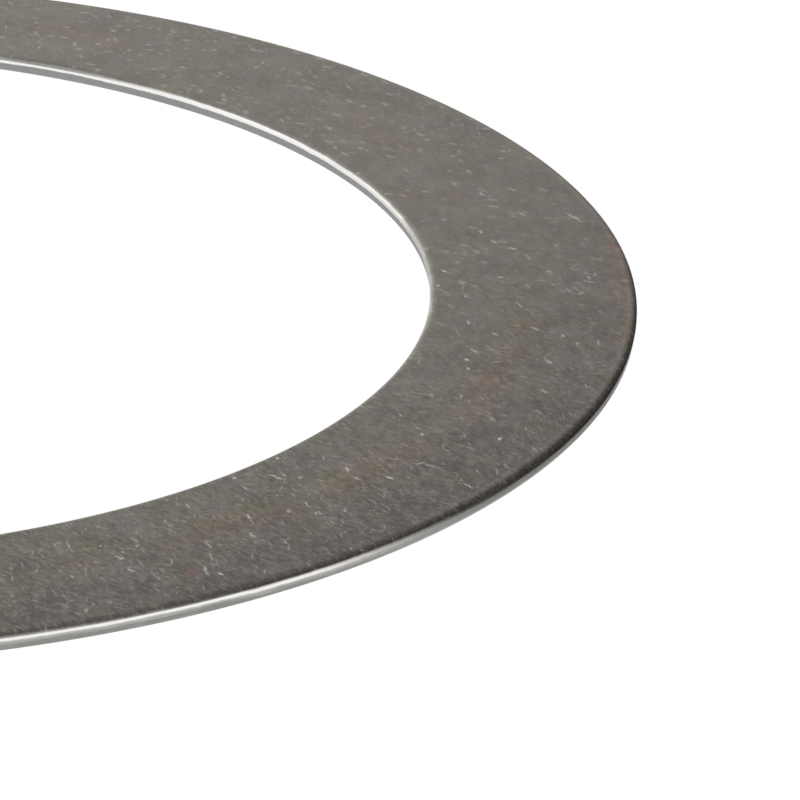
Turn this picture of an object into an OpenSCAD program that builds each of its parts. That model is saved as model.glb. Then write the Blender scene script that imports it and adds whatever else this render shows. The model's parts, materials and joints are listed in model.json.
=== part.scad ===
// Flat thrust washer, blanked from hardened steel strip and tumbled.
// One solid of revolution about Z: the seat face lies on Z = 0 and the raceway face looks up.
// Both edges have the section that a blanking die leaves: a gentle shoulder and a rolled-over corner at the
// raceway, a bright straight land, a torn zone that draws back from it, and a tumbled corner at the seat.

/* [Washer] */
// Diameter of the bore, measured on its bright land
bore_d = 85; // [70:0.5:100]
// Radial width of the ring, from the land of the bore to the land of the rim
ring_w = 12.5; // [5:0.25:25]
// Thickness between the raceway face and the seat face
thickness = 1; // [0.9:0.05:2.5]

/* [Blanked edges] */
// Radius of the gentle shoulders that lead from the raceway face into the rolled corners
shoulder_r = 1.2; // [0.6:0.05:1.6]
// Slope in degrees at which each shoulder passes into its roll
shoulder_slope = 15; // [5:1:20]
// Radius of the rolled-over corners below the shoulders
roll_r = 0.27; // [0.1:0.01:0.35]
// Height of the bright land under each rolled corner
land_h = 0.14; // [0.05:0.01:0.25]
// How far the torn zone has drawn back from the land where it reaches the seat face
tear_setback = 0.09; // [0.01:0.01:0.25]
// Radius of the tumbled corners at the seat face
foot_r = 0.18; // [0.05:0.01:0.2]

/* [Hidden] */
$fn = 128;

bore_r = bore_d / 2;
outer_r = bore_r + ring_w;

// Heights of the two ends of the bright land
land_top = thickness - shoulder_r * (1 - cos(shoulder_slope)) - roll_r * cos(shoulder_slope);
land_foot = land_top - land_h;

// Where each shoulder begins on the raceway face and where it passes into its roll, measured from the land
slope_end = roll_r - roll_r * sin(shoulder_slope);
shoulder_start = slope_end + shoulder_r * sin(shoulder_slope);

// Lean of the torn zone away from the vertical
tear_lean = atan(tear_setback / land_foot);

// Distance from the corner of torn zone and seat face to either tangent point of the foot rounding
foot_reach = foot_r / tan(45 + tear_lean / 2);

// Upper part of a disc between two distances from the land, above the top of the land
module arc_piece(centre, r, start, end) {
    intersection() {
        translate(centre) circle(r = r);
        translate([-start, land_top]) square([start - end, thickness - land_top]);
    }
}

// Half section on the side of one edge. The edge's land lies on the line x = 0, the material on the
// side of negative x, as far as depth behind the land. The polygon has the straight flanks, and the
// pieces of three discs are the shoulder, the roll and the rounding of the foot.
module edge_section(depth) {
    foot_x = -tear_setback - foot_reach;
    polygon([
        [-depth, 0],
        [foot_x, 0],
        [foot_x, foot_r],
        [foot_x + foot_r * cos(tear_lean), foot_r - foot_r * sin(tear_lean)],
        [0, land_foot],
        [0, land_top],
        [-shoulder_start, land_top],
        [-shoulder_start, thickness],
        [-depth, thickness]
    ]);
    arc_piece([-shoulder_start, thickness - shoulder_r], shoulder_r, shoulder_start, slope_end);
    arc_piece([-roll_r, land_top], roll_r, slope_end, 0);
    translate([foot_x, foot_r]) circle(r = foot_r);
}

// Full section of the ring, to the right of the axis
module ring_section() {
    translate([outer_r, 0]) edge_section(ring_w / 2);
    translate([bore_r, 0]) mirror([1, 0]) edge_section(ring_w / 2);
}

module washer() {
    color([0.42, 0.41, 0.39]) rotate_extrude() ring_section();
}

washer();
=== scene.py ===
import json
import math

import bpy
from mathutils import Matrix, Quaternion, Vector


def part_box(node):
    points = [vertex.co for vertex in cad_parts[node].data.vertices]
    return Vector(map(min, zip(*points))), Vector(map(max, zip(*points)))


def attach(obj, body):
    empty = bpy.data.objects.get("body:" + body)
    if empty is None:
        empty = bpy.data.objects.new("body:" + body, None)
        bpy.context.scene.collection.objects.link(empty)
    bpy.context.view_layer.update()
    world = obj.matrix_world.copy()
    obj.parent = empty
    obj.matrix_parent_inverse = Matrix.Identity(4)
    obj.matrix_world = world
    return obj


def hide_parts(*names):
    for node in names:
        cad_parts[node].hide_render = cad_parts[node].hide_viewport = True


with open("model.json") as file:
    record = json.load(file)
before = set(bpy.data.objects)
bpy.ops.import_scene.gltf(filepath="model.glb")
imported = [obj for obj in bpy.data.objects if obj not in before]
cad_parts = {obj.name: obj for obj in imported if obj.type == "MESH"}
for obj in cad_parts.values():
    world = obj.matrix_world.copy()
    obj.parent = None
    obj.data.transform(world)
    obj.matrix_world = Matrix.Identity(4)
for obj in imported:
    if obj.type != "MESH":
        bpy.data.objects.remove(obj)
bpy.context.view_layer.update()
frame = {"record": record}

# Sizes of the washer in metres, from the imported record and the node's box
MM = 0.001
SEAT_Z, RACEWAY_Z = (corner.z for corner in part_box("washer"))
MOUNTS = {mount["name"]: mount for mount in frame["record"]["mounts"]}
BORE_RADIUS = MOUNTS["shaft_bore"]["dims"]["r_mm"] * MM
RIM_RADIUS = MOUNTS["rim"]["dims"]["r_mm"] * MM
THICKNESS = RACEWAY_Z - SEAT_Z

# The section that the blanking die leaves on both edges, from the raceway down: a gentle shoulder, a tight
# roll, a bright land, which carries the mount, a torn zone that draws back and a tumbled corner at the seat
SHOULDER_LEAN = math.radians(15.0)
SHOULDER_RADIUS = 1.2 * MM
ROLL_RADIUS = 0.27 * MM
LAND_FOOT = MOUNTS["rim"]["pos_m"][2] - MOUNTS["rim"]["dims"]["length_mm"] * MM / 2
TEAR_SETBACK = 0.09 * MM
FOOT_RADIUS = 0.18 * MM

# The slope between shoulder and roll, from its corner on the raceway to its corner on the land
SLOPE = (SHOULDER_RADIUS * math.tan(SHOULDER_LEAN / 2)
         + ROLL_RADIUS * math.tan((math.pi / 2 - SHOULDER_LEAN) / 2))
SLOPE_REACH = SLOPE * math.cos(SHOULDER_LEAN)
SLOPE_FOOT = THICKNESS - SLOPE * math.sin(SHOULDER_LEAN)

# How finely the ring is swept, and how rough its torn zone is. Shares are of the torn zone's height.
SEGMENTS = 1024
SHOULDER_STEPS = 5
ROLL_STEPS = 14
FOOT_STEPS = 12
TEAR_STEPS = (0.5, 0.65, 0.8)
TEAR_RIPPLE = 0.006 * MM
RIPPLES_PER_METRE = 2200.0
RIPPLE_DETAIL = 2.0
RIPPLE_FULL_FROM = 0.5
RIPPLE_FULL_TO = 0.85
CREASE_ANGLE = math.radians(8.0)
MERGE_GAP = 0.001 * MM


class Net:
    """A node tree that takes new nodes by type, settings and sockets."""

    def __init__(self, tree):
        self.tree = tree

    def node(self, kind, settings=None, sockets=None, output=0):
        """Adds one node. Its settings come first, because some of them change its sockets."""
        made = self.tree.nodes.new(kind)
        for name, value in (settings or {}).items():
            if name == "items":
                while len(made.index_switch_items) < value:
                    made.index_switch_items.new()
            else:
                setattr(made, name, value)
        for name, value in (sockets or {}).items():
            if isinstance(value, Wire):
                self.tree.links.new(value.socket, made.inputs[name])
            else:
                made.inputs[name].default_value = value
        return Wire(self, made.outputs[output]) if made.outputs else made

    def mix(self, factor, low, high, blend="MIX"):
        """The colour low where factor is 0, and the colour high, or its blend with low, where it is 1."""
        return self.node("ShaderNodeMix", {"data_type": "RGBA", "blend_type": blend},
                         {0: factor, 6: low, 7: high}, 2)

    def vector(self, x, y, z=0.0):
        return self.node("ShaderNodeCombineXYZ", None, {"X": x, "Y": y, "Z": z})


class Wire:
    """One output of a node. A sum of wires and numbers adds Math or Vector Math nodes."""

    def __init__(self, net, socket):
        self.net = net
        self.socket = socket

    def out(self, name):
        """Another output of the same node."""
        return Wire(self.net, self.socket.node.outputs[name])

    def is_vector(self):
        return self.socket.type == "VECTOR"

    def term(self, operation, *terms):
        kind = "ShaderNodeVectorMath" if self.is_vector() else "ShaderNodeMath"
        return self.net.node(kind, {"operation": operation}, dict(enumerate(terms)))

    def __add__(self, other):
        return self.term("ADD", self, other)

    def __radd__(self, other):
        return self.term("ADD", other, self)

    def __sub__(self, other):
        return self.term("SUBTRACT", self, other)

    def __rsub__(self, other):
        return self.term("SUBTRACT", other, self)

    def __mul__(self, other):
        return self.term("MULTIPLY", self, other)

    def __rmul__(self, other):
        return self.term("MULTIPLY", other, self)

    def __truediv__(self, other):
        return self.term("DIVIDE", self, other)

    def __rtruediv__(self, other):
        return self.term("DIVIDE", other, self)

    def __neg__(self):
        return self.term("MULTIPLY", self, -1.0)

    def __abs__(self):
        return self.term("ABSOLUTE", self)

    def at_least(self, other):
        return self.term("MAXIMUM", self, other)

    def at_most(self, other):
        return self.term("MINIMUM", self, other)

    def over(self, other):
        """1 where this is greater than the other, and 0 elsewhere."""
        return self.term("GREATER_THAN", self, other)

    def fraction(self):
        return self.term("FRACT", self)

    def rise(self, start, end, top=1.0):
        """0 at start and top at end, with a smooth course between them. Start may be the greater one."""
        return self.net.node("ShaderNodeMapRange", {"interpolation_type": "SMOOTHSTEP"},
                             {"Value": self, "From Min": start, "From Max": end, "To Max": top})

    def part(self, axis):
        """One coordinate of a vector, or one channel of a colour."""
        kind = "ShaderNodeSeparateXYZ" if self.is_vector() else "ShaderNodeSeparateColor"
        return self.net.node(kind, None, {0: self}, axis)

    def length(self):
        return self.net.node("ShaderNodeVectorMath", {"operation": "LENGTH"}, {0: self}, "Value")

    def dot(self, direction):
        return self.net.node("ShaderNodeVectorMath", {"operation": "DOT_PRODUCT"},
                             {0: self, 1: direction}, "Value")

    def scaled(self, factor):
        return self.net.node("ShaderNodeVectorMath", {"operation": "SCALE"}, {0: self, "Scale": factor})


def ring_tree(material):
    """Geometry Nodes that sweep the blanked section round the axis, and the values of the tree's inputs."""
    tree = bpy.data.node_groups.new("blanked_ring", "GeometryNodeTree")
    sizes = {
        "Bore radius": BORE_RADIUS,
        "Rim radius": RIM_RADIUS,
        "Thickness": THICKNESS,
        "Slope reach": SLOPE_REACH,
        "Slope foot": SLOPE_FOOT,
        "Shoulder radius": SHOULDER_RADIUS,
        "Roll radius": ROLL_RADIUS,
        "Land foot": LAND_FOOT,
        "Tear setback": TEAR_SETBACK,
        "Foot radius": FOOT_RADIUS,
        "Tear ripple": TEAR_RIPPLE,
        "Crease angle": CREASE_ANGLE,
        "Merge gap": MERGE_GAP,
    }
    counts = {
        "Segments": SEGMENTS,
        "Shoulder steps": SHOULDER_STEPS,
        "Roll steps": ROLL_STEPS,
        "Foot steps": FOOT_STEPS,
    }
    values = {}
    for kind, group in (("NodeSocketFloat", sizes), ("NodeSocketInt", counts)):
        for name, value in group.items():
            socket = tree.interface.new_socket(name, in_out="INPUT", socket_type=kind)
            values[socket.identifier] = value
    tree.interface.new_socket("Ring", in_out="OUTPUT", socket_type="NodeSocketGeometry")

    net = Net(tree)
    given = net.node("NodeGroupInput")
    bore, rim, thickness = given.out("Bore radius"), given.out("Rim radius"), given.out("Thickness")
    land_foot, setback = given.out("Land foot"), given.out("Tear setback")
    shoulder, roll, foot = given.out("Shoulder radius"), given.out("Roll radius"), given.out("Foot radius")
    shoulder_steps, roll_steps = given.out("Shoulder steps"), given.out("Roll steps")

    # One edge of the section from the seat up: distance behind the land, height, rounding and its steps
    edge = [(setback, 0.0, foot, given.out("Foot steps"))]
    for share in TEAR_STEPS:
        edge.append((setback * (1.0 - share), land_foot * share, 0.0, 1))
    edge.append((0.0, land_foot, 0.0, 1))
    edge.append((0.0, given.out("Slope foot"), roll, roll_steps))
    edge.append((given.out("Slope reach"), thickness, shoulder, shoulder_steps))

    # The outline goes up the bore's edge and down the rim's. The sweep lays its Y downwards.
    width = rim - bore
    outline = list(edge)
    outline += [(width - behind, height, radius, count) for behind, height, radius, count in reversed(edge)]
    index = net.node("GeometryNodeInputIndex")
    corners = {"Index": index}
    roundings = {"Index": index}
    steps = {"Index": index}
    for number, (across, height, radius, count) in enumerate(outline):
        corners[number + 1] = net.vector(across, height * -1.0)
        roundings[number + 1] = radius
        steps[number + 1] = count
    points = len(outline)

    def by_point(kind, choices):
        return net.node("GeometryNodeIndexSwitch", {"data_type": kind, "items": points}, choices)

    section = net.node("GeometryNodeCurvePrimitiveCircle", {"mode": "RADIUS"}, {"Resolution": points})
    section = net.node("GeometryNodeSetPosition", None,
                       {"Geometry": section, "Position": by_point("VECTOR", corners)})
    section = net.node("GeometryNodeFilletCurve", {"mode": "POLY"},
                       {"Curve": section, "Radius": by_point("FLOAT", roundings),
                        "Count": by_point("INT", steps)})
    path = net.node("GeometryNodeCurvePrimitiveCircle", {"mode": "RADIUS"},
                    {"Resolution": given.out("Segments"), "Radius": bore})
    ring = net.node("GeometryNodeCurveToMesh", None, {"Curve": path, "Profile Curve": section})
    ring = net.node("GeometryNodeMergeByDistance", None,
                    {"Geometry": ring, "Distance": given.out("Merge gap")})

    # The torn zone is a little uneven
    place = net.node("GeometryNodeInputPosition")
    height = place.part("Z")
    torn = height.rise(foot, land_foot * RIPPLE_FULL_FROM)
    torn = torn * height.rise(land_foot, land_foot * RIPPLE_FULL_TO)
    grain = net.node("ShaderNodeTexNoise", None,
                     {"Vector": place, "Scale": RIPPLES_PER_METRE, "Detail": RIPPLE_DETAIL}, "Fac")
    outwards = net.node("ShaderNodeVectorMath", {"operation": "NORMALIZE"}, {0: place * (1.0, 1.0, 0.0)})
    ripple = outwards.scaled((grain - 0.5) * torn * given.out("Tear ripple") * 2.0)
    ring = net.node("GeometryNodeSetPosition", None, {"Geometry": ring, "Offset": ripple})

    # Smooth all over, but for the crease between each land and its torn zone
    bend = net.node("GeometryNodeInputMeshEdgeAngle", None, None, "Unsigned Angle")
    creased = bend.over(given.out("Crease angle"))
    ring = net.node("GeometryNodeSetShadeSmooth", {"domain": "FACE"},
                    {"Geometry": ring, "Shade Smooth": True})
    ring = net.node("GeometryNodeSetShadeSmooth", {"domain": "EDGE"},
                    {"Geometry": ring, "Selection": creased, "Shade Smooth": False})
    ring = net.node("GeometryNodeRealizeInstances", None, {"Geometry": ring})
    ring = net.node("GeometryNodeSetMaterial", None, {"Geometry": ring, "Material": material})
    net.node("NodeGroupOutput", None, {"Ring": ring})
    return tree, values


def sweep_washer(material):
    """The washer as one plain mesh."""
    tree, values = ring_tree(material)
    washer = bpy.data.objects.new("thrust_washer", bpy.data.meshes.new("sweep_start"))
    bpy.context.scene.collection.objects.link(washer)
    modifier = washer.modifiers.new("blanked_ring", "NODES")
    modifier.node_group = tree
    for identifier, value in values.items():
        modifier[identifier] = value
    swept = washer.evaluated_get(bpy.context.evaluated_depsgraph_get())
    mesh = bpy.data.meshes.new_from_object(swept)
    washer.modifiers.remove(modifier)
    washer.data = mesh
    return washer


# Colours of the finish
OXIDE_DARK = (0.214, 0.200, 0.177, 1.0)
OXIDE_LIGHT = (0.575, 0.535, 0.475, 1.0)
# Painted deep shade, for the rim's roll at the front and the far right of the rim's land
PAINTED_DEEP_SHADE = (0.182, 0.163, 0.136, 1.0)
BARE_STEEL = (0.86, 0.83, 0.76, 1.0)
BURNISHED = (0.95, 0.94, 0.91, 1.0)
# Painted shade: the colour of the lands where they lie in shade towards the right
BURNISHED_IN_PAINTED_SHADE = (0.45, 0.44, 0.417, 1.0)
TORN_BORE = (0.40, 0.40, 0.40, 1.0)
TORN_RIM = (0.38, 0.374, 0.356, 1.0)
# Painted light: the rim's torn zone brighter on the right and towards its top
TORN_RIM_PAINTED_LIGHT_RIGHT = (0.55, 0.542, 0.511, 1.0)
TORN_RIM_PAINTED_LIGHT_TOP = (0.66, 0.65, 0.618, 1.0)
GRAZING_TINT = (0.6, 0.6, 0.6, 1.0)

# Temper tints of the oxide, as filters
BROWN = (1.075, 0.985, 0.935, 1.0)
OLIVE = (0.99, 1.015, 0.94, 1.0)
MAUVE = (0.99, 0.98, 1.03, 1.0)
COOL = (0.99, 1.00, 1.05, 1.0)
RED = (1.20, 0.86, 0.94, 1.0)

# Random patterns of the finish: patches per millimetre, detail and roughness
PATTERNS = {
    "edge waves": (1.6, 3.0, 0.6),
    "edge drift": (0.3, 2.0, 0.5),
    "clouds": (0.28, 3.0, 0.5),
    "mottle": (1.2, 2.0, 0.6),
    "grain": (3.6, 3.0, 0.7),
    "tints": (0.4, 3.0, 0.6),
    "streaks": (0.35, 3.0, 0.6),
    "patchiness": (0.8, 3.0, 0.6),
    "crowding": (0.5, 2.0, 0.5),
    "wobble": (2.2, 2.0, 0.5),
    "gaps": (4.0, 2.0, 0.5),
    "shade breaks": (3.5, 2.0, 0.6),
    "smears": (1.0, 3.0, 0.6),
}
SHEET_START = (200.0, 100.0, 0.0)
RACEWAY_SHIFT = (140.0, 90.0)

# Stretches of the washer, in millimetres. A pair gives where a change begins and where it is full. The right
# is towards +X and the front towards -Y. What the view cuts off, on the left and at the back, is plain.
TRACK_RADIUS = 48.0
OUTER_RADIUS = (TRACK_RADIUS, TRACK_RADIUS + 1.0)
RACEWAY_HEIGHT = (0.4, 0.5)
RIGHT_X = (30.0, 42.0)
FAR_RIGHT_X = (44.5, 48.5)
# Towards the front the oxide has more wear and is darkened by painted shade
WORN_AND_SHADED_Y = (25.0, -50.0)
PLAIN_X = (17.0, 11.0)
PLAIN_Y = (14.0, 22.0)

# Zones of the section, in millimetres: the roll's distance from the edge, the heights of land and tear, how
# much they waver, and how much lower the land lies along the rim
ROLL_START = 0.38
ROLL_FULL = 0.10
RIM_ROLL_NARROWER = 0.1
EDGE_WAVES = 0.1
EDGE_DRIFT = 0.16
LAND_DROP_X = (24.0, 31.0)
LAND_DROP = 0.11
LAND_DROP_RIGHT = 0.02
LAND_DROP_FAR_RIGHT = 0.08
RIM_LAND_HIGHER = 0.045
LAND_START = 0.98
LAND_FULL = 0.78
RIM_LAND_START_LOWER = 0.11
RIGHT_LAND_SOFTER = 0.07
RIM_LAND_FULL_LOWER = 0.12
TEAR_BLUR = 0.03
RIM_TEAR_BLUR = 0.06

# Tone of the oxide, from 0 for dark to 1 for light, and the slant of its texture
TONE = 0.49
CLOUDS = 0.45
MOTTLE = 0.62
MOTTLE_WORN = 0.2
GRAIN = 0.24
GRAIN_WORN = 0.96
# Painted shade: the oxide darker towards the front, and more so round the outer part
FRONT_PAINTED_SHADE = 0.22
OUTER_PAINTED_SHADE_RADIUS = (46.0, 54.0)
OUTER_PAINTED_SHADE = 0.1
# Painted light on the shoulder of the rim on the right, where it turns down towards the roll
PAINTED_LIGHT_EDGE_INSIDE = (0.75, 0.45)
PAINTED_LIGHT_EDGE = 0.14
STRIP_TURN = math.radians(20.0)
STRIP_STRETCH = (1.0, 0.37, 1.0)
STRIP_SQUEEZE = (0.92, 1.31, 1.0)
GRAIN_SQUEEZE = (0.75, 1.25, 1.0)

# How the tints spread
OLIVE_CLOUDS = (0.5, 0.65)
MAUVE_CLOUDS = (0.5, 0.35)
STREAK_STRETCH = 0.3
STREAKS = (0.45, 0.7)
BROWN_BAND = (4.0, 0.5)
PLAIN_BROWN = 0.8
MAUVE_RIM_RADIUS = (47.0, 53.0)
MAUVE_RIM = 0.6
RED_RIM_RADIUS = (53.3, 54.1)
RED_RIM_X = (44.0, 50.0)
RED_RIM = 0.11
PATCHINESS = (0.3, 0.6)

# Patches of tint that stand out on the raceway face: place, half the length along the ring, half the width
TINTED_PATCHES = (
    (BROWN, 18.5, -44.2, 1.8, 1.3),
    (BROWN, 24.2, -41.7, 2.2, 1.2),
    (BROWN, 26.8, -39.8, 3.0, 1.8),
    (BROWN, 30.0, -38.2, 2.6, 1.5),
    (BROWN, 34.2, -34.3, 3.2, 1.8),
    (BROWN, 37.2, -31.4, 2.6, 1.4),
    (BROWN, 39.7, -29.1, 2.6, 1.3),
    (BROWN, 42.4, -24.2, 3.0, 1.5),
    (BROWN, 43.9, -19.5, 3.2, 1.9),
    (BROWN, 45.9, -15.2, 2.6, 1.6),
    (BROWN, 47.2, -11.3, 2.4, 1.4),
    (BROWN, 42.6, 11.0, 2.0, 1.0),
    (BROWN, 45.8, 11.3, 1.8, 1.5),
    (BROWN, 53.9, -3.0, 8.0, 0.9),
    (BROWN, 53.1, -12.2, 2.5, 0.8),
    (OLIVE, 18.9, -42.8, 1.6, 1.0),
    (OLIVE, 28.2, -37.0, 2.0, 1.1),
    (OLIVE, 33.1, -32.5, 1.8, 1.0),
    (OLIVE, 43.0, -5.5, 3.5, 1.2),
    (RED, 24.6, -45.7, 0.65, 0.75),
    (RED, 54.45, 1.6, 0.8, 0.3),
    (COOL, 19.5, -48.0, 5.0, 2.6),
    (MAUVE, 33.5, -41.5, 7.0, 2.0),
    (MAUVE, 46.5, -26.5, 7.0, 1.8),
    (MAUVE, 52.6, -3.0, 3.5, 1.0),
    (MAUVE, 44.3, -10.5, 3.0, 0.9),
)

# Scratches all over the faces, in layers: size of the cells that hold one each, half the length, half the
# width, lean to the left in radians and its spread, bend, share of the cells that hold one, and strength
SCRATCH_LAYERS = (
    (0.60, 0.20, 0.080, 0.50, 0.8, 0.4, 0.9, 0.42),
    (0.80, 0.50, 0.070, 0.55, 0.5, 0.4, 0.9, 0.42),
    (0.90, 0.36, 0.095, 0.50, 0.6, 0.5, 0.8, 0.55),
    (1.10, 0.28, 0.150, 1.25, 0.4, 0.6, 0.6, 0.35),
    (1.40, 0.60, 0.090, 0.50, 0.6, 0.5, 0.6, 0.55),
    (2.40, 0.95, 0.090, 0.50, 0.9, 0.6, 0.5, 0.60),
)

# Smudges, and nicks on the plain stretches and the seat face, in the same terms up to the share
SMUDGES = (1.3, 0.6, 0.26, 0.6, 0.8, 0.5, 0.7)
NICKS = (2.4, 0.5, 0.13, 0.5, 0.9, 0.4, 0.7)

# How the marks are spread and how strong they are
LAYER_SHIFT = (3.7, 7.3)
SMUDGE_SHIFT = (2.0, 5.0, 0.0)
NICK_SHIFT = (4.0, 1.0, 0.0)
WOBBLE_SHIFT = (5.0, 9.0, 0.0)
WOBBLE = (0.5, 0.5, 0.0)
CROWDING = (0.3, 0.6)
LEAST_CROWDED = 0.2
LEAST_MARKS = 0.4
WORN_MARKS = 0.62
PLAIN_MARKS = 0.6
SMUDGE_STRENGTH = 0.42
WORN_SMUDGES_FAINTER = 0.32
NICK_STRENGTH = 0.65
GAPS = (0.25, 0.55)
GAP_STRENGTH = 0.65
GAP_CONTRAST = 0.5
SHORTEST_SCRATCH = 0.3
SCRATCH_FADES_FROM = 0.3
CHANCE_MIX = (7.13, 3.71)

# Where the roll of the rim carries painted shade, and breaks in it, painted shade on stretches of the lands,
# and painted light and smears on the torn zone of the rim
ROLL_PAINTED_SHADE_Y = (6.0, -6.0)
SHADE_BREAKS = (0.5, 0.62)
SHADE_BREAK_STRENGTH = 0.75
MARKS_ON_ROLL = 0.8
RIM_LAND_PAINTED_SHADE_X = (30.0, 36.0)
RIM_LAND_PAINTED_SHADE = 0.55
RIM_LAND_DEEPER_PAINTED_SHADE_X = (38.0, 46.0)
RIM_LAND_DEEPER_PAINTED_SHADE = 0.45
BORE_LAND_PAINTED_SHADE_X = (41.7, 42.4)
BORE_LAND_PAINTED_SHADE = 0.4
FAR_RIGHT_PAINTED_SHADE = 0.45
FAR_RIGHT_EVEN = 0.9
TORN_PAINTED_LIGHT_FROM = 0.22
SMEAR_STRETCH = (0.4, 0.4, 8.0)
SMEARS = 1.4

# Roughness and relief
ROUGHNESS = 0.48
MOTTLE_ROUGHER = 0.2
MARKS_SMOOTHER = 0.1
ROLL_SMOOTHER = 0.12
LAND_SMOOTHER = 0.14
TEAR_ROUGHER = 0.3
BUMP_STRENGTH = 0.5
BUMP_DISTANCE = 1.0 * MM
GRAIN_RELIEF = 0.004

# Single scratches that stand out on the raceway face: place, lean to the right in degrees, half the length,
# half the width and strength
SINGLE_SCRATCHES = (
    (18.15, -41.9, -14, 0.75, 0.1, 0.45),
    (21.8, -41.4, -20, 0.5, 0.1, 0.55),
    (21.9, -42.1, 30, 0.35, 0.1, 0.55),
    (20.8, -43.6, -50, 0.4, 0.12, 0.6),
    (21.9, -44.4, -15, 0.9, 0.08, 0.35),
    (22.6, -46.1, -22, 0.8, 0.09, 0.4),
    (21.3, -45.3, -30, 0.45, 0.14, 0.65),
    (18.1, -46, 0, 0.25, 0.1, 0.6),
    (17.5, -45.3, 0, 0.25, 0.09, 0.45),
    (25.75, -43.8, -2, 0.7, 0.09, 0.5),
    (25.3, -45.5, -10, 0.75, 0.11, 0.6),
    (26.1, -46, -35, 0.3, 0.12, 0.8),
    (25, -47.7, -10, 0.6, 0.08, 0.4),
    (18.6, -50.4, 25, 0.45, 0.1, 0.45),
    (25.7, -41.8, -16, 0.7, 0.08, 0.4),
    (29.95, -41.9, -35, 0.5, 0.09, 0.65),
    (30.08, -42.7, 5, 0.45, 0.08, 0.5),
    (31.65, -37, -25, 0.65, 0.09, 0.6),
    (32, -38.2, -8, 0.35, 0.09, 0.65),
    (32.22, -38.1, -12, 0.4, 0.08, 0.6),
    (33.6, -37.8, 12, 0.35, 0.11, 0.6),
    (30.5, -37.8, 0, 0.25, 0.11, 0.6),
    (28.2, -38.4, -8, 0.35, 0.11, 0.75),
    (28.15, -40.8, -15, 0.35, 0.1, 0.6),
    (28.45, -45.8, 15, 0.4, 0.07, 0.4),
    (28.8, -45.9, -15, 0.4, 0.07, 0.4),
    (34.3, -32.1, -6, 0.5, 0.11, 0.85),
    (34.75, -33.4, -45, 0.45, 0.09, 0.55),
    (36.55, -33.4, -35, 0.4, 0.11, 0.75),
    (38.55, -31.5, 45, 0.4, 0.1, 0.55),
    (39.05, -31.8, -35, 0.55, 0.11, 0.6),
    (39.45, -32.2, -60, 0.3, 0.09, 0.45),
    (40.9, -34.8, -22, 0.65, 0.1, 0.65),
    (30.25, -33, -32, 0.35, 0.12, 0.7),
    (31.6, -33.2, 0, 0.28, 0.13, 0.6),
    (28.45, -34.5, -22, 0.55, 0.12, 0.55),
    (43.5, -28.1, 25, 0.35, 0.15, 1),
    (39.15, -27.3, 0, 0.28, 0.12, 0.75),
    (38.9, -26.3, -5, 0.3, 0.11, 0.6),
    (45.2, -26.8, 0, 0.3, 0.11, 0.65),
    (43.4, -25.2, -14, 0.4, 0.1, 0.5),
    (46.3, -24.3, -18, 0.55, 0.09, 0.45),
    (49.5, -20.6, 8, 0.45, 0.09, 0.5),
    (42, -21.7, -5, 0.4, 0.1, 0.55),
    (43.7, -14.9, -26, 0.5, 0.11, 0.75),
    (44.65, -14.5, -25, 0.65, 0.09, 0.45),
    (43.1, -16.2, -6, 0.35, 0.12, 0.8),
    (42.95, -17.6, 0, 0.3, 0.11, 0.65),
    (44.75, -16.65, 88, 0.45, 0.13, 0.45),
    (47.9, -16.8, -10, 0.35, 0.18, 0.65),
    (47.3, -7.7, -14, 0.6, 0.11, 0.55),
    (49.2, -12.7, -8, 0.4, 0.13, 0.5),
    (51.2, -13.9, 5, 0.65, 0.1, 0.45),
    (44.2, -6.2, 0, 0.35, 0.12, 0.65),
    (44.4, -3.9, 50, 0.3, 0.12, 0.55),
    (43.4, -1.9, -35, 0.4, 0.12, 0.8),
    (49.8, -2.3, -70, 0.3, 0.2, 0.5),
    (52.1, -3.4, -10, 0.4, 0.12, 0.6),
    (52.5, -2.9, 30, 0.4, 0.09, 0.5),
    (51.9, -3.9, -40, 0.4, 0.12, 0.5),
    (52.3, -4.1, -60, 0.35, 0.12, 0.45),
    (51.1, -5.2, -30, 0.5, 0.11, 0.5),
    (51.3, -5.9, 40, 0.4, 0.11, 0.4),
    (50.6, -5.4, -35, 0.5, 0.1, 0.45),
    (48.1, 1.7, -52, 0.4, 0.14, 0.8),
    (46.5, 4.6, -10, 0.45, 0.15, 0.65),
    (48.8, 0.2, -5, 0.8, 0.12, 0.35),
    (51.4, -1.5, 35, 0.9, 0.1, 0.3),
    (52.65, 7.0, -28, 1.15, 0.2, 0.6),
    (30.6, -30.4, 20, 0.25, 0.14, 0.8),
    (40.3, -21.6, -20, 0.35, 0.11, 0.6),
    (38.2, -24.4, -15, 0.4, 0.1, 0.55),
    (47, -21.2, -25, 0.4, 0.14, 0.6),
    (45.3, -29.8, -20, 0.4, 0.1, 0.55),
    (41.6, -29.4, -30, 0.35, 0.1, 0.55),
    (47.7, -11.5, -30, 0.4, 0.14, 0.6),
    (49.9, -14, 10, 0.4, 0.13, 0.5),
    (45.2, -12.3, -25, 0.4, 0.12, 0.6),
    (43.9, -10.4, -5, 0.35, 0.13, 0.65),
    (46.7, -3.1, -30, 0.4, 0.16, 0.55),
    (48.2, -4.6, -15, 0.45, 0.15, 0.5),
    (42.75, -4.4, 0, 0.3, 0.14, 0.8),
    (47.1, 2.9, -40, 0.4, 0.16, 0.6),
    (49.4, 7.7, -20, 0.5, 0.18, 0.5),
    (47.4, 11.3, -25, 0.5, 0.18, 0.55),
    (49.4, 12, -30, 0.5, 0.16, 0.55),
    (27.9, -33.1, 80, 0.16, 0.2, 1),
    (30.0, -32.8, -55, 0.3, 0.1, 0.65),
    (30.4, -33.3, -50, 0.25, 0.11, 0.9),
    (30.7, -32.7, -25, 0.4, 0.08, 0.6),
    (32.7, -33.7, -35, 0.35, 0.1, 0.7),
    (28.2, -41.0, -40, 0.3, 0.12, 0.75),
    (25.0, -36.8, -5, 0.5, 0.09, 0.5),
    (24.4, -36.6, -8, 0.45, 0.08, 0.4),
    (25.7, -42.1, -20, 0.8, 0.08, 0.45),
)


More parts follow.
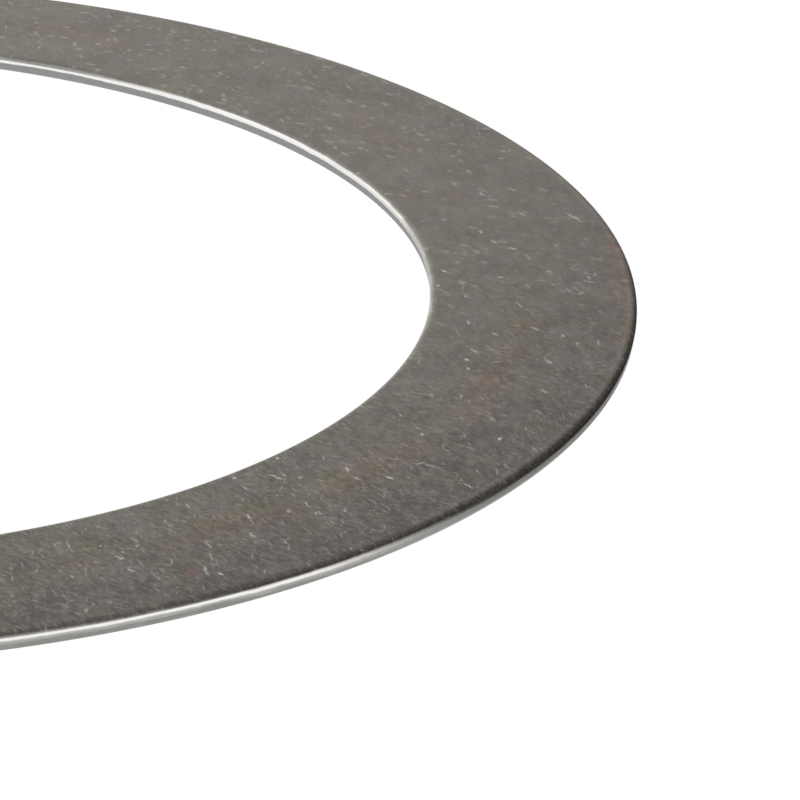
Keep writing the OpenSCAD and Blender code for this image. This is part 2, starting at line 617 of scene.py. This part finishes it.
class Surface:
    """Where a point of the washer lies, in millimetres, and its share in each zone of the finish."""

    def __init__(self, net):
        self.net = net
        metres = net.node("ShaderNodeTexCoord", None, None, "Object")
        self.place = net.node("ShaderNodeMapping", None, {"Vector": metres, "Scale": (1.0 / MM,) * 3})
        self.flat = self.place * (1.0, 1.0, 0.0)
        self.x = self.flat.part("X")
        self.y = self.flat.part("Y")
        self.height = self.place.part("Z")
        self.radius = self.flat.length()
        self.inside = (self.radius - BORE_RADIUS / MM).at_most(RIM_RADIUS / MM - self.radius)

        # The seat face has its own pattern
        self.raceway = self.height.rise(*RACEWAY_HEIGHT)
        shift_x, shift_y = RACEWAY_SHIFT
        seat_sheet = net.node("ShaderNodeMapping", None, {"Vector": self.flat, "Location": SHEET_START})
        self.sheet = seat_sheet + net.vector(self.raceway * shift_x, self.raceway * shift_y)

        # Stretches of the ring
        self.outer = self.radius.rise(*OUTER_RADIUS)
        self.right = self.x.rise(*RIGHT_X)
        self.far_right = self.x.rise(*FAR_RIGHT_X)
        # Towards the front: more wear, and painted shade in the oxide
        self.worn_and_shaded = self.y.rise(*WORN_AND_SHADED_Y)
        self.plain = self.x.rise(*PLAIN_X).at_least(self.y.rise(*PLAIN_Y))

        # Zones of the section. The tear begins sharply in the bore and gradually on the rim.
        roll_start = ROLL_START - self.outer * (1.0 - self.right) * RIM_ROLL_NARROWER
        self.rolled = self.inside.rise(roll_start, ROLL_FULL)
        waves = self.pattern("edge waves", self.place) - 0.5
        drift = self.pattern("edge drift", self.place) - 0.5
        drop = self.x.rise(*LAND_DROP_X) * LAND_DROP + self.right * LAND_DROP_RIGHT - RIM_LAND_HIGHER
        self.level = self.height + waves * EDGE_WAVES + drift * EDGE_DRIFT
        self.level = self.level + self.outer * drop
        self.level = self.level + self.outer * self.far_right * LAND_DROP_FAR_RIGHT
        land_start = LAND_START - self.outer * (RIM_LAND_START_LOWER - self.right * RIGHT_LAND_SOFTER)
        land_full = LAND_FULL - self.outer * RIM_LAND_FULL_LOWER
        wall = self.rolled * self.level.rise(land_start, land_full)
        tear_start = LAND_FOOT / MM + TEAR_BLUR
        tear_full = LAND_FOOT / MM - TEAR_BLUR - self.outer * RIM_TEAR_BLUR
        self.torn = wall * self.level.rise(tear_start, tear_full)
        self.burnished = wall - self.torn

    def pattern(self, name, where=None):
        """One of the random patterns, about 0.5 in the mean, on the faces' sheet or at another place."""
        scale, detail, roughness = PATTERNS[name]
        sockets = {"Vector": where or self.sheet, "Scale": scale, "Detail": detail, "Roughness": roughness}
        return self.net.node("ShaderNodeTexNoise", {"noise_dimensions": "3D"}, sockets, "Fac")


def scratch_layer(net, place, cell, reach, width, lean, spread, bend, share):
    """Short scratches, one in some of the cells of a loose net, as a mask."""
    voronoi = net.node("ShaderNodeTexVoronoi", {"voronoi_dimensions": "2D"},
                       {"Vector": place, "Scale": 1.0 / cell}, "Position")
    chance = voronoi.out("Color")
    first, second, third = chance.part(0), chance.part(1), chance.part(2)
    heading = lean + (first - 0.5) * (2.0 * spread)
    local = net.node("ShaderNodeVectorRotate", {"rotation_type": "Z_AXIS"},
                     {"Vector": place - voronoi, "Angle": -heading})
    along = local.part("Y")
    across = local.part("X") + along * along * ((second - 0.5) * (2.0 * bend))
    half_length = (third * (1.0 - SHORTEST_SCRATCH) + SHORTEST_SCRATCH) * reach
    stroke = abs(along / half_length).rise(1.0, SCRATCH_FADES_FROM) * abs(across).rise(width, 0.0)
    first_share, second_share = CHANCE_MIX
    strength = (first * first_share + second * second_share).fraction()
    return stroke * strength.rise(1.0 - share, 1.0)


def soft_oval(place, x, y, turn, across, along, strength=1.0):
    """An oval that fades from its middle to its edge, as a mask. Its length points to Y before the turn."""
    middle = place - (x, y, 0.0)
    sideways = middle.dot((math.cos(turn) / across, math.sin(turn) / across, 0.0))
    lengthways = middle.dot((-math.sin(turn) / along, math.cos(turn) / along, 0.0))
    return (sideways * sideways + lengthways * lengthways).rise(1.0, 0.0, strength)


def oxide(at):
    """Colour of the oxide, with more wear and painted shade towards the front, painted light on the rim's
    shoulder on the right, and its mottle and grain.
    """
    strip = at.net.node("ShaderNodeMapping", None,
                        {"Vector": at.sheet, "Rotation": (0.0, 0.0, STRIP_TURN), "Scale": STRIP_STRETCH})
    strip = strip * STRIP_SQUEEZE
    clouds = at.pattern("clouds") - 0.5
    mottle = at.pattern("mottle", strip) - 0.5
    grain = at.pattern("grain", strip * GRAIN_SQUEEZE)
    tone = TONE + clouds * CLOUDS + mottle * (MOTTLE + at.worn_and_shaded * MOTTLE_WORN)
    tone = tone + (grain - 0.5) * (GRAIN + at.worn_and_shaded * GRAIN_WORN)
    # Painted shade, darker towards the front and more so round the outer part
    tone = tone - at.worn_and_shaded * (FRONT_PAINTED_SHADE + at.radius.rise(*OUTER_PAINTED_SHADE_RADIUS) * OUTER_PAINTED_SHADE)
    # Painted light on the shoulder of the rim on the right
    tone = tone + at.inside.rise(*PAINTED_LIGHT_EDGE_INSIDE) * at.outer * at.right * PAINTED_LIGHT_EDGE
    return at.net.mix(tone, OXIDE_DARK, OXIDE_LIGHT), mottle, grain


def temper_tints(at, colour):
    """Olive and mauve clouds, brown along the middle, mauve and red at the rim, and the patches."""
    def tinted(share, tint):
        return at.net.mix(share, colour, tint, "MULTIPLY")

    clouds = at.pattern("tints")
    colour = tinted(clouds.rise(*OLIVE_CLOUDS), OLIVE)
    colour = tinted(clouds.rise(*MAUVE_CLOUDS), MAUVE)
    along_ring = at.flat.scaled(STREAK_STRETCH * TRACK_RADIUS / at.radius)
    streaks = at.pattern("streaks", along_ring + at.net.vector(0.0, 0.0, at.radius)).rise(*STREAKS)
    band = abs(at.radius - TRACK_RADIUS).rise(*BROWN_BAND)
    colour = tinted(streaks * band * at.worn_and_shaded.at_least(at.plain * PLAIN_BROWN), BROWN)
    colour = tinted(at.radius.rise(*MAUVE_RIM_RADIUS) * at.worn_and_shaded * MAUVE_RIM, MAUVE)
    colour = tinted(at.radius.rise(*RED_RIM_RADIUS) * at.x.rise(*RED_RIM_X) * RED_RIM, RED)
    uneven = at.pattern("patchiness").rise(*PATCHINESS) * at.raceway
    for tint, x, y, along, across in TINTED_PATCHES:
        patch = soft_oval(at.flat, x, y, math.atan2(y, x), across, along)
        colour = tinted(patch * uneven, tint)
    return colour


def bright_marks(at):
    """Scratches, smudges and nicks that lay the steel bare, as a mask."""
    crowding = at.pattern("crowding").rise(*CROWDING) * (1.0 - LEAST_CROWDED) + LEAST_CROWDED
    shift_x, shift_y = LAYER_SHIFT
    marks = None
    for number, (*shape, strength) in enumerate(SCRATCH_LAYERS):
        shifted = at.sheet + (shift_x * number, shift_y * number, 0.0)
        layer = scratch_layer(at.net, shifted, *shape) * strength
        marks = layer if marks is None else marks.at_least(layer)
    marks = marks * crowding * (at.worn_and_shaded.at_least(at.plain * PLAIN_MARKS) * WORN_MARKS + LEAST_MARKS)
    smudges = scratch_layer(at.net, at.sheet + SMUDGE_SHIFT, *SMUDGES)
    marks = marks.at_least(smudges * (SMUDGE_STRENGTH - at.worn_and_shaded * WORN_SMUDGES_FAINTER))
    nicks = scratch_layer(at.net, at.sheet + NICK_SHIFT, *NICKS)
    marks = marks.at_least(nicks * at.plain.at_least(1.0 - at.raceway) * NICK_STRENGTH)

    # The single scratches waver and have gaps
    wobble = at.net.vector(at.pattern("wobble"), at.pattern("wobble", at.sheet + WOBBLE_SHIFT))
    wavy = at.flat + (wobble - (0.5, 0.5, 0.0)) * WOBBLE
    singles = None
    for x, y, lean, reach, width, strength in SINGLE_SCRATCHES:
        single = soft_oval(wavy, x, y, -math.radians(lean), width, reach, strength)
        singles = single if singles is None else singles.at_least(single)
    gaps = at.pattern("gaps").rise(*GAPS) * GAP_CONTRAST + GAP_STRENGTH
    return marks.at_least(singles * gaps * at.raceway)


def edge_finish(at, colour, marks):
    """Painted shade on the rim's roll at the front, broken in places, the bright lands with painted shade
    towards the right, and the torn zones, the rim's one with painted light towards its top and on the right.
    """
    mix = at.net.mix
    # Painted shade on the roll of the rim at the front, broken in places by random gaps and by the marks
    shade_breaks = at.pattern("shade breaks", at.place).rise(*SHADE_BREAKS) * SHADE_BREAK_STRENGTH + marks * MARKS_ON_ROLL
    roll_painted_shade = at.rolled * at.outer * at.y.rise(*ROLL_PAINTED_SHADE_Y) * (1.0 - shade_breaks).at_least(0.0)
    colour = mix(roll_painted_shade, colour, PAINTED_DEEP_SHADE)
    # Painted shade on the rim's land towards the right and on the bore's land at its right end, deepest at
    # the rim's far right
    land_painted_shade = at.outer * (at.x.rise(*RIM_LAND_PAINTED_SHADE_X) * RIM_LAND_PAINTED_SHADE + at.x.rise(*RIM_LAND_DEEPER_PAINTED_SHADE_X) * RIM_LAND_DEEPER_PAINTED_SHADE)
    land_painted_shade = land_painted_shade.at_least((1.0 - at.outer) * at.x.rise(*BORE_LAND_PAINTED_SHADE_X) * BORE_LAND_PAINTED_SHADE)
    painted_land_shade_colour = mix(at.outer * at.far_right * FAR_RIGHT_PAINTED_SHADE, BURNISHED_IN_PAINTED_SHADE, PAINTED_DEEP_SHADE)
    colour = mix(at.burnished, colour, mix(land_painted_shade, BURNISHED, painted_land_shade_colour))
    # Painted light towards the top of the rim's torn zone, leaving it darker towards the foot, mixed with
    # random smears; at the far right most of both is taken out
    smears = at.pattern("smears", at.place * SMEAR_STRETCH) - 0.5
    painted_light_and_smears = at.level.rise(TORN_PAINTED_LIGHT_FROM, LAND_FOOT / MM) + smears * SMEARS
    painted_light_and_smears = painted_light_and_smears * (1.0 - at.far_right * FAR_RIGHT_EVEN)
    torn_rim = mix(painted_light_and_smears, mix(at.right, TORN_RIM, TORN_RIM_PAINTED_LIGHT_RIGHT), TORN_RIM_PAINTED_LIGHT_TOP)
    return mix(at.torn, colour, mix(at.outer, TORN_BORE, torn_rim))


def steel_finish():
    """The material of the washer."""
    material = bpy.data.materials.new("tumbled_steel")
    material.use_nodes = True
    net = Net(material.node_tree)
    net.tree.nodes.clear()
    at = Surface(net)
    colour, mottle, grain = oxide(at)
    colour = temper_tints(at, colour)
    marks = bright_marks(at)
    colour = edge_finish(at, net.mix(marks, colour, BARE_STEEL), marks)

    roughness = ROUGHNESS + mottle * MOTTLE_ROUGHER - marks * MARKS_SMOOTHER
    roughness = roughness - at.rolled * ROLL_SMOOTHER - at.burnished * LAND_SMOOTHER
    roughness = roughness + at.torn * TEAR_ROUGHER
    bump = net.node("ShaderNodeBump", None,
                    {"Strength": BUMP_STRENGTH, "Distance": BUMP_DISTANCE, "Height": grain * GRAIN_RELIEF})
    shader = net.node("ShaderNodeBsdfPrincipled", None,
                      {"Base Color": colour, "Metallic": 1.0, "Roughness": roughness, "Normal": bump,
                       "Specular Tint": GRAZING_TINT})
    net.node("ShaderNodeOutputMaterial", None, {"Surface": shader})
    return material


# Soft lights round the washer, in degrees: bearing from the back towards the right, elevation, how far each
# one is full and where it has faded, and then its radiance
WHITE = (1.0, 1.0, 1.0, 1.0)
AMBIENT = 0.21
SOFT_LIGHTS = {
    "left wall": (-75.0, 3.0, 15.0, 50.0, 0.9),
    "back wall": (-16.0, 6.0, 8.0, 42.0, 0.95),
    "front": (180.0, 20.0, 10.0, 60.0, 0.35),
    "top": (0.0, 90.0, 10.0, 65.0, 0.25),
}


def toward(bearing, elevation):
    """The direction of a light."""
    turn, rise = math.radians(bearing), math.radians(elevation)
    return Vector((math.sin(turn) * math.cos(rise), math.cos(turn) * math.cos(rise), math.sin(rise)))


def studio_world():
    """The soft lights. The lens sees plain white in their place."""
    world = bpy.data.worlds.new("studio")
    bpy.context.scene.world = world
    world.use_nodes = True
    net = Net(world.node_tree)
    net.tree.nodes.clear()
    way = net.node("ShaderNodeTexCoord", None, None, "Generated")
    light = None
    for bearing, elevation, full, faded, radiance in SOFT_LIGHTS.values():
        edge = (math.cos(math.radians(faded)), math.cos(math.radians(full)))
        lobe = way.dot(toward(bearing, elevation)).rise(*edge) * radiance
        light = lobe + AMBIENT if light is None else light + lobe
    seen = net.node("ShaderNodeLightPath", None, None, "Is Camera Ray")
    room = net.node("ShaderNodeBackground", None, {"Color": WHITE, "Strength": seen.at_least(light)})
    net.node("ShaderNodeOutputWorld", None, {"Surface": room})


# The light table that the washer lies on, and the washer's shadow painted on it beside the rim, by its
# heading from the right towards the back, in degrees
TABLE_SIZE = 6.0
TABLE_GAP = 0.01 * MM
TABLE_GLOW = 0.95
PAINTED_SHADOW_HEADING = -14.0
PAINTED_SHADOW_FULL = 23.0
PAINTED_SHADOW_FADED = 41.0
PAINTED_SHADOW_DARK = 0.90
PAINTED_SHADOW_START = RIM_RADIUS + 0.12 * MM
PAINTED_SHADOW_SOFT_EDGE = 0.35 * MM


def light_table():
    """A white table. The lens sees it as plain white, and the steel sees its glow with the washer's shadow
    painted on it beside the rim.
    """
    half = TABLE_SIZE / 2
    z = SEAT_Z - TABLE_GAP
    corners = [(-half, -half, z), (half, -half, z), (half, half, z), (-half, half, z)]
    mesh = bpy.data.meshes.new("table")
    mesh.from_pydata(corners, [], [(0, 1, 2, 3)])
    table = bpy.data.objects.new("table", mesh)
    bpy.context.scene.collection.objects.link(table)
    material = bpy.data.materials.new("light_table")
    material.use_nodes = True
    net = Net(material.node_tree)
    net.tree.nodes.clear()
    flat = net.node("ShaderNodeTexCoord", None, None, "Object") * (1.0, 1.0, 0.0)
    radius = flat.length()
    heading = math.radians(PAINTED_SHADOW_HEADING)
    # Painted shadow of the washer beside the rim, seen only by the steel
    share = flat.dot((math.cos(heading), math.sin(heading), 0.0)) / radius
    painted_shadow = share.rise(math.cos(math.radians(PAINTED_SHADOW_FADED)), math.cos(math.radians(PAINTED_SHADOW_FULL)))
    painted_shadow = painted_shadow * radius.rise(PAINTED_SHADOW_START, PAINTED_SHADOW_START + PAINTED_SHADOW_SOFT_EDGE)
    glow = TABLE_GLOW * (1.0 - painted_shadow * PAINTED_SHADOW_DARK)
    seen = net.node("ShaderNodeLightPath", None, None, "Is Camera Ray")
    white = net.node("ShaderNodeEmission", None, {"Color": WHITE, "Strength": seen.at_least(glow)})
    net.node("ShaderNodeOutputMaterial", None, {"Surface": white})
    mesh.materials.append(material)


# The camera of the photograph: where it stands and how its axis is turned away from the washer's centre
CAMERA_ELEVATION = math.radians(21.48)
CAMERA_DISTANCE = 355.6 * MM
CAMERA_PAN = math.radians(-6.554)
CAMERA_TILT = math.radians(-1.225)
CAMERA_ROLL = math.radians(0.746)
FOCAL_PIXELS = 5838.0
FRAME_PIXELS = 800.0
SENSOR_MM = 36.0
CLIP_START = 0.01
CLIP_END = 100.0


def photo_camera():
    """The camera at the photograph's viewing angle."""
    lens = bpy.data.cameras.new("camera")
    lens.sensor_width = SENSOR_MM
    lens.lens = SENSOR_MM * FOCAL_PIXELS / FRAME_PIXELS
    lens.clip_start = CLIP_START
    lens.clip_end = CLIP_END
    camera = bpy.data.objects.new("camera", lens)
    bpy.context.scene.collection.objects.link(camera)
    back = Vector((0.0, -math.cos(CAMERA_ELEVATION), math.sin(CAMERA_ELEVATION)))
    camera.location = back * CAMERA_DISTANCE
    aim = back.to_track_quat("Z", "Y")
    turn = Quaternion((0.0, 1.0, 0.0), CAMERA_PAN)
    turn = turn @ Quaternion((1.0, 0.0, 0.0), CAMERA_TILT)
    turn = turn @ Quaternion((0.0, 0.0, -1.0), CAMERA_ROLL)
    camera.rotation_mode = "QUATERNION"
    camera.rotation_quaternion = aim @ turn
    bpy.context.scene.camera = camera


washer = sweep_washer(steel_finish())
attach(washer, "root")
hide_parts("washer")

light_table()
studio_world()
photo_camera()
bpy.context.scene.view_settings.view_transform = "Standard"
